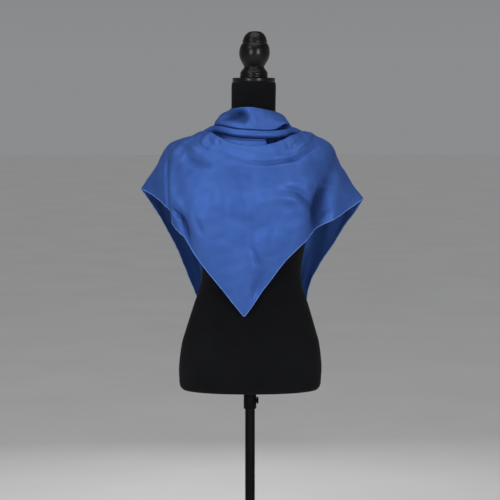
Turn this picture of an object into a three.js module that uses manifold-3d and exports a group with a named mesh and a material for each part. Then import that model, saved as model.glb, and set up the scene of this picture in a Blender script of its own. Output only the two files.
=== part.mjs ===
// A silk square scarf draped on a limbless dress form that stands on a pole and a round base.
// Millimetres, +Z up. The form faces -Y and +X is to the right of someone who looks at its front.
import * as THREE from 'three';
import { mergeVertices } from 'three/addons/utils/BufferGeometryUtils.js';
import Module from 'manifold-3d';

const wasm = await Module();
wasm.setup();

const fitGap = 0.3;

// Heights in the torso tables start at the underside of the torso, which is this far above the floor.
const torsoBottom = 800;
const neckTop = 709;
const leanSlope = Math.tan(THREE.MathUtils.degToRad(0.7));
const torsoColumns = 40;

// Section across the torso at each height: half its width, depth to the front and to the back,
// and how square its outline is, where 2 is an ellipse.
const torsoSections = [
  { height: 0, side: 157, front: 98, back: 117, square: 2.25 },
  { height: 7, side: 162.5, front: 103, back: 122, square: 2.25 },
  { height: 24, side: 164.6, front: 105, back: 124, square: 2.25 },
  { height: 54, side: 165.3, front: 106, back: 125, square: 2.25 },
  { height: 105, side: 159.3, front: 107, back: 120, square: 2.2 },
  { height: 139, side: 149.8, front: 105, back: 113, square: 2.15 },
  { height: 170, side: 140.4, front: 101, back: 106, square: 2.1 },
  { height: 203, side: 130.0, front: 97, back: 98, square: 2.1 },
  { height: 224, side: 122.5, front: 95, back: 93, square: 2.1 },
  { height: 246, side: 116.4, front: 93, back: 88, square: 2.1 },
  { height: 271, side: 114.4, front: 93, back: 86, square: 2.1 },
  { height: 295, side: 116.6, front: 95, back: 86, square: 2.1 },
  { height: 330, side: 122.0, front: 101, back: 90, square: 2.15 },
  { height: 370, side: 131.0, front: 109, back: 97, square: 2.2 },
  { height: 410, side: 139.0, front: 115, back: 103, square: 2.25 },
  { height: 428, side: 141.6, front: 116, back: 105.3, square: 2.28 },
  { height: 445, side: 144.0, front: 116, back: 107, square: 2.3 },
  { height: 462, side: 147.0, front: 114.2, back: 107.8, square: 2.3 },
  { height: 480, side: 151.0, front: 111, back: 108, square: 2.3 },
  { height: 495, side: 156.3, front: 106.9, back: 107.4, square: 2.28 },
  { height: 510, side: 162.0, front: 102, back: 106, square: 2.25 },
  { height: 535, side: 173.0, front: 90, back: 99, square: 2.2 },
  { height: 549, side: 177.0, front: 81, back: 91, square: 2.15 },
  { height: 558, side: 172.0, front: 75, back: 84, square: 2.1 },
  { height: 566, side: 159.0, front: 70, back: 77, square: 2.1 },
  { height: 576, side: 134.0, front: 65, back: 70, square: 2.05 },
  { height: 588, side: 104.0, front: 60, back: 63, square: 2 },
  { height: 602, side: 76.0, front: 56, back: 57, square: 2 },
  { height: 618, side: 58.5, front: 52.5, back: 53, square: 2 },
  { height: 636, side: 51.6, front: 51, back: 51, square: 2 },
  { height: 660, side: 50.8, front: 50.8, back: 50.8, square: 2 },
  { height: 703, side: 50.8, front: 50.8, back: 50.8, square: 2 },
  { height: 709, side: 48.6, front: 48.6, back: 48.6, square: 2 },
];

const bust = { apart: 76, height: 438, halfWidth: 52, halfHeight: 64, depth: 15 };

const poleRadius = 11.3;
const poleBevel = 1.5;
const poleInTorso = 190;
const boreDepth = 350;
const collar = { radius: 14.7, below: 47.8, above: 210, sleeveRadius: 14.2, taper: 1.2 };
const screw = {
  below: 28.4, shankRadius: 2.9, knobRadius: 7.9, knobStart: 15, knobEnd: 19.8, grips: 16, gripDepth: 0.6,
};
const screwHoleRadius = 3.2;

const base = {
  radius: 200, thick: 7, edge: 3, dome: 1.5, hubRadius: 24, hubHeight: 26, hubBevel: 2, floorSkin: 3,
};

const plate = { radius: 48.9, thick: 9, bevel: 1.6 };

// Turned outline of the finial, from its foot to its crown.
const finialTurning = [
  { height: 0, radius: 30.6 },
  { height: 1.6, radius: 32.1 },
  { height: 4.4, radius: 31.9 },
  { height: 5.6, radius: 30.9 },
  { height: 7.0, radius: 31.6 },
  { height: 10.5, radius: 31.5 },
  { height: 15.0, radius: 29.4 },
  { height: 19.5, radius: 25.6 },
  { height: 23.6, radius: 23.2 },
  { height: 26.0, radius: 23.4 },
  { height: 33.6, radius: 27.6 },
  { height: 41.2, radius: 31.8 },
  { height: 50.7, radius: 34.7 },
  { height: 58.6, radius: 35.1 },
  { height: 68.0, radius: 33.9 },
  { height: 75.6, radius: 30.6 },
  { height: 79.4, radius: 27.6 },
  { height: 81.4, radius: 28.4 },
  { height: 84.6, radius: 28.0 },
  { height: 87.0, radius: 26.9 },
  { height: 92.0, radius: 25.6 },
  { height: 99.6, radius: 20.2 },
  { height: 104.5, radius: 13.6 },
];
const finialHeight = 106.3;

// The scarf. Its front pieces end at one seam plane over the shoulders and the back ends start there.
const clothWall = 1.8;
const clothClear = 1.4;
const seamY = 10;
const frontSeam = seamY - fitGap / 2;
const backSeam = seamY + fitGap / 2;

// Lines that run over the front panel: the edge at the neck, the turn over the shoulder or the bust,
// a point on the hanging part, and the hem.
const frontLines = [
  { edge: [-112, seamY, 593], turn: [-177, seamY, 569], hang: [-213, seamY, 517], hem: [-252, seamY, 464] },
  { edge: [-108, -10, 595], turn: [-174, -34, 556], hang: [-203, -38, 498], hem: [-216, -32, 446] },
  { edge: [-103, -24, 598], turn: [-168, -52, 540], hang: [-180, -62, 475], hem: [-182, -60, 415] },
  { edge: [-98, -36, 597], turn: [-166, -76, 536], hang: [-188, -98, 465], hem: [-175, -90, 386] },
  { edge: [-88, -54, 593], turn: [-140, -104, 520], hang: [-158, -118, 440], hem: [-148, -108, 358] },
  { edge: [-74, -81, 585], turn: [-102, -128, 498], hang: [-112, -138, 400], hem: [-111, -122, 304] },
  { edge: [-42, -95, 575], turn: [-60, -140, 470], hang: [-66, -140, 360], hem: [-63, -122, 243] },
  { edge: [-8, -104, 568], turn: [-12, -140, 455], hang: [-14, -134, 320], hem: [-13, -118, 180] },
  { edge: [30, -102, 570], turn: [38, -142, 470], hang: [38, -140, 360], hem: [33, -122, 245] },
  { edge: [62, -88, 579], turn: [84, -138, 485], hang: [84, -138, 395], hem: [79, -125, 307] },
  { edge: [90, -64, 589], turn: [130, -112, 515], hang: [136, -120, 430], hem: [125, -114, 351] },
  { edge: [108, -38, 594], turn: [160, -74, 536], hang: [166, -84, 455], hem: [160, -80, 378] },
  { edge: [118, -15, 597], turn: [180, -40, 552], hang: [206, -44, 475], hem: [205, -46, 405] },
  { edge: [124, seamY, 596], turn: [190, seamY, 568], hang: [213, seamY, 522], hem: [262, seamY, 441] },
];
const pointLine = 7;

// Lines over the back ends: the folded edge, the turn behind the neck rolls, the shoulder, a point on
// the hanging part, and the hem.
const leftBackLines = [
  {
    edge: [-86, 125, 112], turn: [-87.5, 126, 110],
    shoulder: [-89, 126, 108], hang: [-90.5, 126, 106], hem: [-92, 126, 104],
  },
  {
    edge: [-82, 124, 165], turn: [-87, 127, 159],
    shoulder: [-92, 127, 152], hang: [-98, 126, 144], hem: [-103, 122, 136],
  },
  {
    edge: [-78, 122, 250], turn: [-87, 128, 236],
    shoulder: [-98, 126, 220], hang: [-110, 121, 200], hem: [-118, 112, 183],
  },
  {
    edge: [-74, 119, 350], turn: [-92, 126, 328],
    shoulder: [-112, 122, 300], hang: [-132, 113, 272], hem: [-143, 98, 247],
  },
  {
    edge: [-70, 115, 440], turn: [-98, 122, 416],
    shoulder: [-128, 115, 382], hang: [-154, 100, 345], hem: [-168, 82, 312],
  },
  {
    edge: [-66, 104, 520], turn: [-100, 112, 500],
    shoulder: [-142, 102, 462], hang: [-176, 84, 410], hem: [-192, 62, 364],
  },
  {
    edge: [-62, 78, 582], turn: [-104, 88, 560],
    shoulder: [-158, 78, 520], hang: [-196, 62, 460], hem: [-216, 44, 408],
  },
  {
    edge: [-55, 42, 622], turn: [-98, 50, 596],
    shoulder: [-166, 46, 560], hang: [-205, 34, 500], hem: [-236, 22, 440],
  },
  {
    edge: [-45, seamY, 648], turn: [-93, seamY, 605],
    shoulder: [-178, seamY, 567], hang: [-213, seamY, 518], hem: [-252, seamY, 464],
  },
];

const rightBackLines = [
  {
    edge: [60, seamY, 643], turn: [107, seamY, 603],
    shoulder: [190, seamY, 567], hang: [213, seamY, 522], hem: [262, seamY, 441],
  },
  {
    edge: [68, 42, 618], turn: [110, 50, 592],
    shoulder: [176, 46, 560], hang: [214, 36, 494], hem: [243, 26, 409],
  },
  {
    edge: [72, 78, 578], turn: [114, 88, 556],
    shoulder: [166, 80, 516], hang: [202, 66, 452], hem: [222, 50, 378],
  },
  {
    edge: [74, 104, 516], turn: [108, 113, 494],
    shoulder: [150, 104, 452], hang: [182, 88, 398], hem: [196, 70, 333],
  },
  {
    edge: [76, 115, 436], turn: [104, 122, 410],
    shoulder: [134, 117, 374], hang: [156, 104, 328], hem: [165, 88, 284],
  },
  {
    edge: [78, 119, 345], turn: [96, 127, 322],
    shoulder: [116, 124, 292], hang: [134, 117, 260], hem: [141, 102, 232],
  },
  {
    edge: [81, 122, 245], turn: [91, 129, 231],
    shoulder: [103, 128, 212], hang: [117, 123, 190], hem: [127, 113, 168],
  },
  {
    edge: [85, 125, 158], turn: [89, 129, 152],
    shoulder: [95, 128, 145], hang: [102, 127, 136], hem: [107, 123, 128],
  },
  {
    edge: [90, 126, 104], turn: [91.5, 127, 102.5],
    shoulder: [93, 127, 101], hang: [94.5, 127, 99.5], hem: [96, 127, 98],
  },
];

// Folds pressed into a sheet. Each runs between two places given as line number and share of the
// way from the edge to the hem. A ridge has a positive rise and a trough a negative one.
const frontFolds = [
  { line: 7, share: 0.04, toLine: 10, toShare: 0.09, halfWidth: 11, rise: 4 },
  { line: 6.8, share: 0.13, toLine: 10.4, toShare: 0.2, halfWidth: 11, rise: -7 },
  { line: 8.8, share: 0.36, toLine: 10.6, toShare: 0.64, halfWidth: 11, rise: -6 },
  { line: 8.2, share: 0.46, toLine: 10.1, toShare: 0.72, halfWidth: 16, rise: 6 },
  { line: 10.7, share: 0.6, toLine: 11, toShare: 1, halfWidth: 15, rise: -8 },
  { line: 7.3, share: 0.6, toLine: 7.9, toShare: 0.84, halfWidth: 9, rise: -4 },
  { line: 1, share: 0.19, toLine: 4.2, toShare: 0.17, halfWidth: 9, rise: 3 },
  { line: 1.6, share: 0.3, toLine: 4.6, toShare: 0.28, halfWidth: 12, rise: -5 },
];
const leftBackFolds = [
  { line: 8, share: 0.25, toLine: 2.2, toShare: 0.25, halfWidth: 13, rise: 6 },
  { line: 8, share: 0.4, toLine: 3.0, toShare: 0.5, halfWidth: 13, rise: -7 },
  { line: 7.4, share: 0.6, toLine: 3.4, toShare: 0.74, halfWidth: 13, rise: 6 },
];
const rightBackFolds = [
  { line: 0, share: 0.25, toLine: 5.8, toShare: 0.25, halfWidth: 13, rise: 6 },
  { line: 0, share: 0.4, toLine: 5.0, toShare: 0.5, halfWidth: 13, rise: -8 },
  { line: 0.6, share: 0.6, toLine: 4.6, toShare: 0.74, halfWidth: 13, rise: 6 },
];

// The neck band at places round the neck, from the left seam round the front to the right seam.
const bandPlaces = [
  { top: [-45, seamY, 648], bottom: [-86, seamY, 613], belly: 3 },
  { top: [-44, -22, 651], bottom: [-80, -36, 607], belly: 4 },
  { top: [-24, -46, 653], bottom: [-50, -63, 600], belly: 0 },
  { top: [7, -55.5, 653], bottom: [0, -76, 596], belly: -3 },
  { top: [38, -46, 651], bottom: [54, -63, 598], belly: 0 },
  { top: [58, -22, 647], bottom: [88, -36, 605], belly: 5 },
  { top: [60, seamY, 643], bottom: [99, seamY, 609], belly: 4 },
];

// Crest line of each roll, with how far its face hangs below the crest.
const middleRollPlaces = [
  { crest: [-99, seamY, 606], drop: 12 },
  { crest: [-91, -28, 609], drop: 15 },
  { crest: [-66, -60, 603], drop: 17 },
  { crest: [-34, -79, 598], drop: 17 },
  { crest: [5, -86, 597], drop: 18 },
  { crest: [45, -80, 598], drop: 18 },
  { crest: [79, -59, 602], drop: 18 },
  { crest: [103, -27, 606], drop: 16 },
  { crest: [112, seamY, 604], drop: 12 },
];
const underRollPlaces = [
  { crest: [-60, -71, 581.5], drop: 6 },
  { crest: [-50, -79, 583], drop: 8 },
  { crest: [-30, -90, 581], drop: 10 },
  { crest: [5, -97, 579], drop: 10 },
  { crest: [28, -94, 578], drop: 9 },
  { crest: [38, -88, 573], drop: 6 },
];
// Outline across a roll: how far out from the crest and how far down, as shares of the drop.
const rollOutline = [
  { out: -0.3, down: 0.62 },
  { out: -0.24, down: 0.2 },
  { out: 0, down: 0 },
  { out: 0.22, down: 0.16 },
  { out: 0.32, down: 0.55 },
  { out: 0.16, down: 1 },
];

// The front panel's edge turns in behind itself by this much.
const lip = { inward: 3.6, down: 9 };
const foldSteps = 12;
const foldEndStrength = 0.45;

const blackJersey = { color: 0x191a1e, roughness: 0.92, metalness: 0 };
const blackWood = { color: 0x17181b, roughness: 0.38, metalness: 0 };
const blackMetal = { color: 0x141416, roughness: 0.45, metalness: 0.4 };
const blackPlastic = { color: 0x161618, roughness: 0.6, metalness: 0 };
const blueSilk = { color: 0x4264a8, roughness: 0.45, metalness: 0 };

function leanAt(height) {
  return height * leanSlope;
}

// Smooth reading of a table column at a height between its rows.
function readColumn(rows, key, column, at) {
  const last = rows.length - 1;
  if (at <= rows[0][key]) return rows[0][column];
  if (at >= rows[last][key]) return rows[last][column];
  let row = 0;
  while (rows[row + 1][key] < at) row += 1;
  const slopeAt = (index) => {
    const before = rows[Math.max(index - 1, 0)];
    const after = rows[Math.min(index + 1, last)];
    return (after[column] - before[column]) / (after[key] - before[key]);
  };
  const start = rows[row];
  const end = rows[row + 1];
  const span = end[key] - start[key];
  const t = (at - start[key]) / span;
  const startWeight = 2 * t ** 3 - 3 * t ** 2 + 1;
  const startSlope = (t ** 3 - 2 * t ** 2 + t) * span * slopeAt(row);
  const endSlope = (t ** 3 - t ** 2) * span * slopeAt(row + 1);
  return start[column] * startWeight + end[column] * (1 - startWeight) + startSlope + endSlope;
}

// Distance of the torso surface from its axis. The angle is 0 at the front and grows towards +X.
function torsoRadius(angle, height) {
  const side = readColumn(torsoSections, 'height', 'side', height);
  const depth = readColumn(torsoSections, 'height', Math.cos(angle) > 0 ? 'front' : 'back', height);
  const square = readColumn(torsoSections, 'height', 'square', height);
  const across = (Math.abs(Math.sin(angle)) / side) ** square;
  const along = (Math.abs(Math.cos(angle)) / depth) ** square;
  const plain = (across + along) ** (-1 / square);
  if (Math.cos(angle) <= 0) return plain;
  const x = plain * Math.sin(angle);
  const up = ((height - bust.height) / bust.halfHeight) ** 2;
  const left = Math.exp(-(((x + bust.apart) / bust.halfWidth) ** 2) - up);
  const right = Math.exp(-(((x - bust.apart) / bust.halfWidth) ** 2) - up);
  return plain + bust.depth * (left + right) * Math.cos(angle);
}

// How far a point is outside the torso, measured level from its axis.
function outsideTorso(point) {
  const x = point.x - leanAt(point.z);
  return Math.hypot(x, point.y) - torsoRadius(Math.atan2(x, -point.y), point.z);
}

// Moves a point outwards until it clears the torso by the wanted distance.
function clearOfTorso(point, distance) {
  const step = 0.5;
  const result = point.clone();
  for (let turn = 0; turn < 5; turn += 1) {
    const gap = outsideTorso(result);
    const slope = new THREE.Vector3();
    ['x', 'y', 'z'].forEach((axis) => {
      const moved = result.clone();
      moved[axis] += step;
      slope[axis] = (outsideTorso(moved) - gap) / step;
    });
    const wanted = distance * slope.length();
    if (gap >= wanted) break;
    result.addScaledVector(slope, (wanted - gap) / slope.lengthSq());
  }
  return result;
}

function solidFrom(geometry) {
  const plain = geometry.clone();
  plain.deleteAttribute('normal');
  plain.deleteAttribute('uv');
  const merged = mergeVertices(plain, 1e-4);
  return new wasm.Manifold(new wasm.Mesh({
    numProp: 3,
    vertProperties: new Float32Array(merged.attributes.position.array),
    triVerts: new Uint32Array(merged.index.array),
  }));
}

function geometryFrom(solid) {
  const mesh = solid.getMesh();
  const geometry = new THREE.BufferGeometry();
  geometry.setAttribute('position', new THREE.BufferAttribute(new Float32Array(mesh.vertProperties), 3));
  geometry.setIndex(new THREE.BufferAttribute(new Uint32Array(mesh.triVerts), 1));
  return geometry;
}

function makePiece(name, geometry, look) {
  const mesh = new THREE.Mesh(geometry, new THREE.MeshStandardMaterial(look));
  mesh.name = name;
  mesh.geometry.computeVertexNormals();
  return mesh;
}

// A turned solid from rows of radius and height, closed on its axis at its foot and its crown.
function turned(rows, segments, crown = rows[rows.length - 1].height) {
  const outline = [
    new THREE.Vector2(0, rows[0].height),
    ...rows.map((row) => new THREE.Vector2(row.radius, row.height)),
    new THREE.Vector2(0, crown),
  ];
  const geometry = new THREE.LatheGeometry(outline, segments);
  geometry.rotateX(Math.PI / 2);
  return geometry;
}

// An upright cylinder on the pole's axis, for cutting bores.
function upright(radius, low, high) {
  return wasm.Manifold.cylinder(high - low, radius, radius, 32).translate([0, 0, low]);
}

// A cylinder along +X that starts at a distance from the pole's axis.
function sideways(radius, start, end, height) {
  return wasm.Manifold.cylinder(end - start, radius, radius, 16).rotate([0, 90, 0])
    .translate([start, 0, height]);
}

function raise(piece) {
  piece.position.z = torsoBottom;
  return piece;
}

function makeTorso() {
  const heights = torsoSections.map((row) => row.height);
  const positions = [];
  const indices = [];
  heights.forEach((height) => {
    for (let column = 0; column < torsoColumns; column += 1) {
      const angle = (column / torsoColumns) * Math.PI * 2;
      const radius = torsoRadius(angle, height);
      positions.push(radius * Math.sin(angle) + leanAt(height), -radius * Math.cos(angle), height);
    }
  });
  const bottomMiddle = positions.length / 3;
  positions.push(0, 0, 0);
  const topMiddle = bottomMiddle + 1;
  positions.push(leanAt(neckTop), 0, neckTop);
  const topRing = (heights.length - 1) * torsoColumns;
  for (let column = 0; column < torsoColumns; column += 1) {
    const next = (column + 1) % torsoColumns;
    for (let ring = 0; ring < heights.length - 1; ring += 1) {
      const low = ring * torsoColumns;
      const high = low + torsoColumns;
      indices.push(low + column, low + next, high + column);
      indices.push(low + next, high + next, high + column);
    }
    indices.push(bottomMiddle, next, column);
    indices.push(topMiddle, topRing + column, topRing + next);
  }
  const geometry = new THREE.BufferGeometry();
  geometry.setAttribute('position', new THREE.Float32BufferAttribute(positions, 3));
  geometry.setIndex(indices);
  const sleeveBore = upright(collar.sleeveRadius + fitGap, -1, collar.above);
  const poleBore = upright(poleRadius + fitGap, -1, boreDepth);
  const torso = solidFrom(geometry).subtract(sleeveBore).subtract(poleBore);
  return raise(makePiece('torso', geometryFrom(torso), blackJersey));
}

// Curve through the points that a table has in one column.
function columnCurve(lines, column) {
  return new THREE.CatmullRomCurve3(
    lines.map((line) => new THREE.Vector3(...line[column])), false, 'catmullrom', 0.5);
}

// Point on a column's curve at a line number with a fraction. The hem may have a corner at one line.
function pointOnColumn(lines, column, at, corner) {
  if (column !== 'hem' || corner === undefined) {
    return columnCurve(lines, column).getPoint(at / (lines.length - 1));
  }
  const part = at <= corner ? lines.slice(0, corner + 1) : lines.slice(corner);
  const start = at <= corner ? 0 : corner;
  return columnCurve(part, column).getPoint((at - start) / (part.length - 1));
}

// One line over the cloth as a curve, from its edge or the lip inside it to the hem.
function lineCurve(lines, at, corner, withLip) {
  const columns = Object.keys(lines[0]);
  const points = columns.map((column) => pointOnColumn(lines, column, at, corner));
  if (withLip) {
    const edge = points[0];
    const tucked = new THREE.Vector3(-edge.x, -edge.y, 0).setLength(lip.inward);
    tucked.z = -lip.down;
    points.unshift(tucked.add(edge));
  }
  return new THREE.CatmullRomCurve3(points, false, 'centripetal');
}

// Places along the middle of a fold, on the sheet before it is folded.
function foldMiddle(lines, fold, corner, withLip) {
  const edgeShare = withLip ? 1 / Object.keys(lines[0]).length : 0;
  return evenShares(foldSteps, 0).map((along) => {
    const line = THREE.MathUtils.lerp(fold.line, fold.toLine, along);
    const share = THREE.MathUtils.lerp(fold.share, fold.toShare, along);
    return lineCurve(lines, line, corner, withLip).getPoint(edgeShare + share * (1 - edgeShare));
  });
}

// How far a fold lifts the sheet at a point: most along its middle, less at its ends.
function foldRise(fold, middle, point) {
  const distances = middle.map((place) => place.distanceTo(point));
  const nearest = Math.min(...distances);
  const along = distances.indexOf(nearest) / foldSteps;
  const strength = foldEndStrength + (1 - foldEndStrength) * Math.sin(Math.PI * along);
  return fold.rise * strength * Math.exp(-((nearest / fold.halfWidth) ** 2));
}

// Grid of points over a sheet, with its folds pressed in and moved clear of the torso.
function sheetGrid(lines, { perLine, shares, folds, corner, withLip }) {
  const count = (lines.length - 1) * perLine;
  const bare = Array.from({ length: count + 1 }, (_, column) => {
    const curve = lineCurve(lines, column / perLine, corner, withLip);
    return shares.map((share) => curve.getPoint(share));
  });
  const normals = gridNormals(bare);
  const middles = folds.map((fold) => foldMiddle(lines, fold, corner, withLip));
  return bare.map((points, column) => points.map((point, row) => {
    const rise = folds.reduce((sum, fold, index) => sum + foldRise(fold, middles[index], point), 0);
    const moved = point.clone().addScaledVector(normals[column][row], rise);
    return clearOfTorso(moved, clothClear);
  }));
}

// Direction out of the cloth at each point of a grid.
function gridNormals(grid) {
  return grid.map((points, column) => points.map((point, row) => {
    const before = grid[Math.max(column - 1, 0)][row];
    const after = grid[Math.min(column + 1, grid.length - 1)][row];
    const above = points[Math.max(row - 1, 0)];
    const below = points[Math.min(row + 1, points.length - 1)];
    const across = after.clone().sub(before);
    const down = below.clone().sub(above);
    return down.cross(across).normalize();
  }));
}

// A closed wall of even thickness on a grid of points. Keep holds both faces on one side of a seam.
function wallGeometry(grid, keep) {
  const normals = gridNormals(grid);
  const columns = grid.length;
  const rows = grid[0].length;
  const positions = [];
  [0.5, -0.5].forEach((side) => {
    grid.forEach((points, column) => points.forEach((point, row) => {
      const corner = point.clone().addScaledVector(normals[column][row], side * clothWall);
      keep(corner, column);
      positions.push(corner.x, corner.y, corner.z);
    }));
  });
  const outer = (column, row) => column * rows + row;
  const inner = (column, row) => columns * rows + column * rows + row;
  const indices = [];
  const addSquare = (a, b, c, d) => indices.push(a, b, c, a, c, d);
  for (let column = 0; column < columns - 1; column += 1) {
    for (let row = 0; row < rows - 1; row += 1) {
      const next = column + 1;
      addSquare(outer(column, row), outer(column, row + 1), outer(next, row + 1), outer(next, row));
      addSquare(inner(column, row), inner(next, row), inner(next, row + 1), inner(column, row + 1));
    }
    const last = rows - 1;
    addSquare(outer(column, 0), outer(column + 1, 0), inner(column + 1, 0), inner(column, 0));
    addSquare(outer(column, last), inner(column, last), inner(column + 1, last), outer(column + 1, last));
  }
  for (let row = 0; row < rows - 1; row += 1) {
    const end = columns - 1;
    addSquare(outer(0, row), inner(0, row), inner(0, row + 1), outer(0, row + 1));
    addSquare(outer(end, row), outer(end, row + 1), inner(end, row + 1), inner(end, row));
  }
  const geometry = new THREE.BufferGeometry();
  geometry.setAttribute('position', new THREE.Float32BufferAttribute(positions, 3));
  geometry.setIndex(indices);
  return geometry;
}

function evenShares(count, start) {
  return Array.from({ length: count + 1 }, (_, index) => start + (1 - start) * (index / count));
}

function keepInFront(columns) {
  return (corner, column) => {
    if (column === 0 || column === columns - 1) corner.y = frontSeam;
    corner.y = Math.min(corner.y, frontSeam);
  };
}

function keepBehind(seamColumn) {
  return (corner, column) => {
    if (column === seamColumn) corner.y = backSeam;
    corner.y = Math.max(corner.y, backSeam);
  };
}

// The under roll ends before the seam, so nothing of it is held back.
function keepAsIs() {
  return () => {};
}

function makeFrontPanel() {
  const shares = [0, 0.12, 0.2, 0.25, 0.3, ...evenShares(11, 0.36)];
  const grid = sheetGrid(frontLines, {
    perLine: 4, shares, corner: pointLine, withLip: true, folds: frontFolds,
  });
  return makePiece('scarf_front_panel', wallGeometry(grid, keepInFront(grid.length)), blueSilk);
}

function makeBackEnd(name, lines, folds, seamLine) {
  const perLine = 3;
  const grid = sheetGrid(lines, { perLine, shares: evenShares(12, 0), folds });
  const seamColumn = seamLine * perLine;
  return makePiece(name, wallGeometry(grid, keepBehind(seamColumn)), blueSilk);
}

// Value of a column at a share of the way through the places of a table.
function betweenPlaces(places, column, share) {
  const last = places.length - 1;
  const place = Math.min(Math.floor(share * last), last - 1);
  return THREE.MathUtils.lerp(places[place][column], places[place + 1][column], share * last - place);
}

function makeNeckBand() {
  const columns = 30;
  const rows = 5;
  const top = columnCurve(bandPlaces, 'top');
  const bottom = columnCurve(bandPlaces, 'bottom');
  const grid = [];
  for (let column = 0; column <= columns; column += 1) {
    const high = top.getPoint(column / columns);
    const low = bottom.getPoint(column / columns);
    const out = new THREE.Vector3(low.x - leanAt(low.z), low.y, 0).normalize();
    const belly = betweenPlaces(bandPlaces, 'belly', column / columns);
    const points = [];
    for (let row = 0; row <= rows; row += 1) {
      const share = row / rows;
      const point = high.clone().lerp(low, share);
      point.addScaledVector(out, belly * Math.sin(Math.PI * share));
      points.push(clearOfTorso(point, clothClear));
    }
    grid.push(points);
  }
  return makePiece('scarf_neck_band', wallGeometry(grid, keepInFront(grid.length)), blueSilk);
}

function makeRoll(name, places, columns, keep) {
  const crest = columnCurve(places, 'crest');
  const grid = [];
  for (let column = 0; column <= columns; column += 1) {
    const at = column / columns;
    const middle = crest.getPoint(at);
    const heading = crest.getTangent(at);
    const out = new THREE.Vector3(heading.y, -heading.x, 0).normalize();
    const drop = betweenPlaces(places, 'drop', at);
    const points = rollOutline.map((row) => {
      const point = middle.clone().addScaledVector(out, row.out * drop);
      point.z -= row.down * drop;
      return clearOfTorso(point, clothClear);
    });
    grid.push(points);
  }
  return makePiece(name, wallGeometry(grid, keep(grid.length)), blueSilk);
}

function makePlate() {
  const bottom = neckTop + fitGap;
  const piece = makePiece('neck_cap_plate', turned([
    { radius: plate.radius - plate.bevel, height: 0 },
    { radius: plate.radius, height: plate.bevel },
    { radius: plate.radius, height: plate.thick - plate.bevel },
    { radius: plate.radius - plate.bevel, height: plate.thick },
  ], 40), blackWood);
  piece.position.set(leanAt(neckTop), 0, torsoBottom + bottom);
  return piece;
}

function makeFinial() {
  const bottom = neckTop + plate.thick + 2 * fitGap;
  const piece = makePiece('finial', turned(finialTurning, 32, finialHeight), blackWood);
  piece.position.set(leanAt(bottom), 0, torsoBottom + bottom);
  return piece;
}

function makeCollar() {
  const sleeveTop = collar.above - 1 - fitGap;
  const body = turned([
    { radius: collar.radius - collar.taper, height: -collar.below },
    { radius: collar.radius, height: -collar.below + 2 * collar.taper },
    { radius: collar.radius, height: -fitGap },
    { radius: collar.sleeveRadius, height: -fitGap },
    { radius: collar.sleeveRadius, height: sleeveTop },
  ], 32);
  const bore = upright(poleRadius + fitGap, -collar.below - 1, collar.above);
  const screwHole = sideways(screwHoleRadius, 0, collar.radius + 1, -screw.below);
  return makePiece('collar', geometryFrom(solidFrom(body).subtract(bore).subtract(screwHole)), blackPlastic);
}

function makeThumbScrew() {
  const corners = screw.grips * 2;
  const outline = Array.from({ length: corners }, (_, index) => {
    const angle = (index / corners) * Math.PI * 2;
    const radius = screw.knobRadius - (index % 2) * screw.gripDepth;
    return [radius * Math.cos(angle), radius * Math.sin(angle)];
  });
  const knob = wasm.Manifold.extrude([outline], screw.knobEnd - screw.knobStart)
    .rotate([0, 90, 0]).translate([screw.knobStart, 0, -screw.below]);
  const shank = sideways(screw.shankRadius, poleRadius + fitGap, screw.knobEnd - 1, -screw.below);
  return makePiece('thumb_screw', geometryFrom(knob.add(shank)), blackPlastic);
}

function makePole() {
  const top = torsoBottom + poleInTorso;
  return makePiece('pole', turned([
    { radius: poleRadius, height: base.floorSkin + fitGap },
    { radius: poleRadius, height: top - poleBevel },
    { radius: poleRadius - poleBevel, height: top },
  ], 32), blackMetal);
}

function makeBase() {
  const rim = base.radius - base.edge;
  const body = turned([
    { radius: base.radius - 1, height: 0 },
    { radius: base.radius, height: 1 },
    { radius: base.radius, height: base.thick - base.edge },
    { radius: rim + base.edge / 2, height: base.thick - base.edge / 4 },
    { radius: rim, height: base.thick },
    { radius: base.hubRadius, height: base.thick + base.dome },
    { radius: base.hubRadius - base.hubBevel, height: base.hubHeight - base.hubBevel },
    { radius: base.hubRadius - 2 * base.hubBevel, height: base.hubHeight },
  ], 48);
  const socket = upright(poleRadius + fitGap, base.floorSkin, base.hubHeight + 1);
  return makePiece('stand_base', geometryFrom(solidFrom(body).subtract(socket)), blackMetal);
}

const part = new THREE.Group();
part.name = 'scarf_on_dress_form';
part.add(makeBase());
part.add(makePole());
part.add(makeTorso());
part.add(raise(makeCollar()));
part.add(raise(makeThumbScrew()));
part.add(makePlate());
part.add(makeFinial());
part.add(raise(makeNeckBand()));
part.add(raise(makeRoll('scarf_middle_roll', middleRollPlaces, 32, keepInFront)));
part.add(raise(makeRoll('scarf_under_roll', underRollPlaces, 22, keepAsIs)));
part.add(raise(makeFrontPanel()));
part.add(raise(makeBackEnd('scarf_left_end', leftBackLines, leftBackFolds, leftBackLines.length - 1)));
part.add(raise(makeBackEnd('scarf_right_end', rightBackLines, rightBackFolds, 0)));

export default part;
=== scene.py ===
import math

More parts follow.
